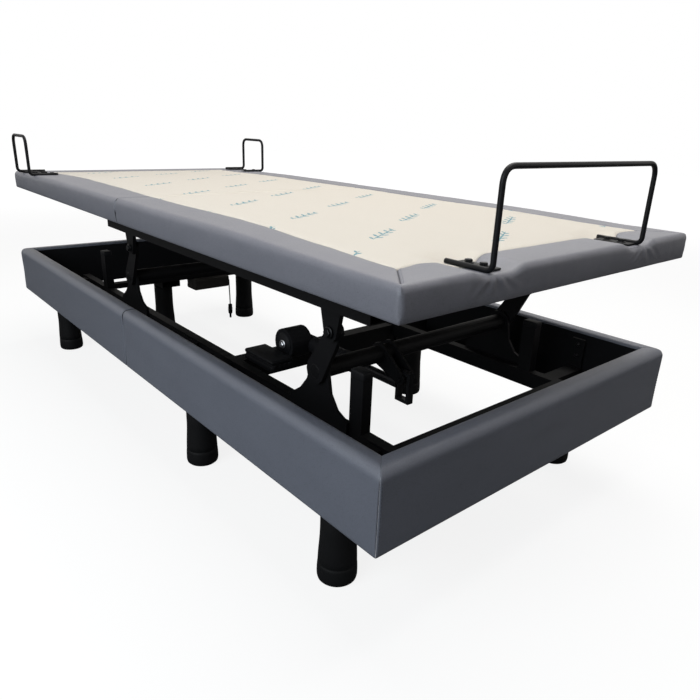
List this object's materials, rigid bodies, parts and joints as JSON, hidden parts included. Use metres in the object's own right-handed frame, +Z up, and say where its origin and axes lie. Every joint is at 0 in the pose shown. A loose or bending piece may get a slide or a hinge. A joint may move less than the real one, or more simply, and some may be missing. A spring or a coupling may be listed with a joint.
{
  "type": "adjustable bed base",
  "caption": "Upholstered hi-lo adjustable bed base: rail box on legs, parallelogram lift, and a deck with tilting back, thigh and calf sections.",
  "frame": {"origin": "on the floor under the centre of the base", "axes": "+Z up, +Y to the head end, +X to the right seen from the foot end"},
  "size_m": [0.955, 2.03, 0.808],
  "materials": {
    "frame_steel": "satin black powder coat",
    "lift_steel": "satin black powder coat",
    "rod_steel": "blackened steel",
    "grey_leather": "grey faux leather, fine grain",
    "top_fabric": "cream knitted mattress fabric with a small teal motif",
    "leg_plastic": "matte black moulded",
    "drive_plastic": "matte black moulded",
    "supply_plastic": "grey moulded",
    "plywood": "plain plywood",
    "cable": "matte black cable sheath"
  },
  "bodies": {
    "underframe": {"lower_frame_foot": "frame_steel", "lower_frame_head": "frame_steel", "leg_foot_left": "leg_plastic", "leg_foot_right": "leg_plastic", "leg_mid_left": "leg_plastic", "leg_mid_right": "leg_plastic", "leg_head_left": "leg_plastic", "leg_head_right": "leg_plastic", "leg_head_centre": "leg_plastic", "side_rail_foot_left": "grey_leather", "side_rail_head_left": "grey_leather", "side_rail_foot_right": "grey_leather", "side_rail_head_right": "grey_leather", "end_rail_foot": "grey_leather", "end_rail_head": "grey_leather", "rest_post_foot_left": "frame_steel", "rest_post_head_left": "frame_steel", "rest_post_foot_right": "frame_steel", "rest_post_head_right": "frame_steel", "lift_gusset_foot_left": "lift_steel", "lift_gusset_head_left": "lift_steel", "lift_gusset_foot_right": "lift_steel", "lift_gusset_head_right": "lift_steel", "frame_joint_plate_left": "frame_steel", "frame_joint_plate_right": "frame_steel", "lift_drive_housing": "drive_plastic", "control_box": "drive_plastic", "power_supply": "supply_plastic", "power_lead": "cable", "lead_connector": "cable"},
    "lift_arms_head": {"lift_shaft_head": "lift_steel"},
    "lift_arms_foot": {"lift_shaft_foot": "lift_steel"},
    "lift_rod": {"lift_drive_rod": "rod_steel"},
    "deck_frame": {"upper_frame": "lift_steel", "seat_board": "plywood", "seat_pad": "top_fabric", "back_drive_housing": "drive_plastic", "leg_drive_housing": "drive_plastic"},
    "back_section": {"back_frame": "lift_steel", "back_board": "plywood", "back_pad": "top_fabric", "side_retainer_left": "frame_steel", "side_retainer_right": "frame_steel"},
    "back_rod": {"back_drive_rod": "rod_steel"},
    "thigh_section": {"thigh_frame": "lift_steel", "thigh_board": "plywood", "thigh_pad": "top_fabric"},
    "calf_section": {"calf_frame": "lift_steel", "calf_board": "plywood", "calf_pad": "top_fabric", "foot_retainer": "frame_steel"},
    "leg_rod": {"leg_drive_rod": "rod_steel"}
  },
  "joints": [
    {"name": "lift_head_pivot", "type": "hinge", "parent": "underframe", "child": "lift_arms_head", "pos_m": [0, 0.34, 0.37], "axis": [1, 0, 0], "range_deg": [0, 120]},
    {"name": "deck_carry_pivot", "type": "hinge", "parent": "lift_arms_head", "child": "deck_frame", "pos_m": [0, 0.28, 0.47392], "axis": [1, 0, 0], "range_deg": [-120, 0]},
    {"name": "lift_foot_pivot", "type": "hinge", "parent": "underframe", "child": "lift_arms_foot", "pos_m": [0, -0.645, 0.37], "axis": [1, 0, 0], "range_deg": [0, 120]},
    {"name": "lift_rod_slide", "type": "slide", "parent": "underframe", "child": "lift_rod", "axis": [0, 1, 0], "range_m": [0, 0.13856]},
    {"name": "back_tilt", "type": "hinge", "parent": "deck_frame", "child": "back_section", "pos_m": [0, 0.25, 0.612], "axis": [1, 0, 0], "range_deg": [0, 60]},
    {"name": "back_rod_slide", "type": "slide", "parent": "deck_frame", "child": "back_rod", "axis": [0, 1, 0], "range_m": [0, 0.11]},
    {"name": "thigh_tilt", "type": "hinge", "parent": "deck_frame", "child": "thigh_section", "pos_m": [0, 0.02, 0.612], "axis": [-1, 0, 0], "range_deg": [0, 32]},
    {"name": "calf_tilt", "type": "hinge", "parent": "thigh_section", "child": "calf_section", "pos_m": [0, -0.3, 0.612], "axis": [1, 0, 0], "range_deg": [0, 45.7]},
    {"name": "leg_rod_slide", "type": "slide", "parent": "deck_frame", "child": "leg_rod", "axis": [0, -1, 0], "range_m": [0, 0.06064]}
  ],
  "couplings": [
    {"joint": "deck_carry_pivot", "follows": "lift_head_pivot", "ratio": -1},
    {"joint": "lift_foot_pivot", "follows": "lift_head_pivot", "ratio": 1},
    {"joint": "lift_rod_slide", "follows": "lift_head_pivot", "m_per_rad": 0.066159},
    {"joint": "back_rod_slide", "follows": "back_tilt", "m_per_rad": 0.10504},
    {"joint": "calf_tilt", "follows": "thigh_tilt", "ratio": 1.428},
    {"joint": "leg_rod_slide", "follows": "thigh_tilt", "m_per_rad": 0.10858}
  ]
}
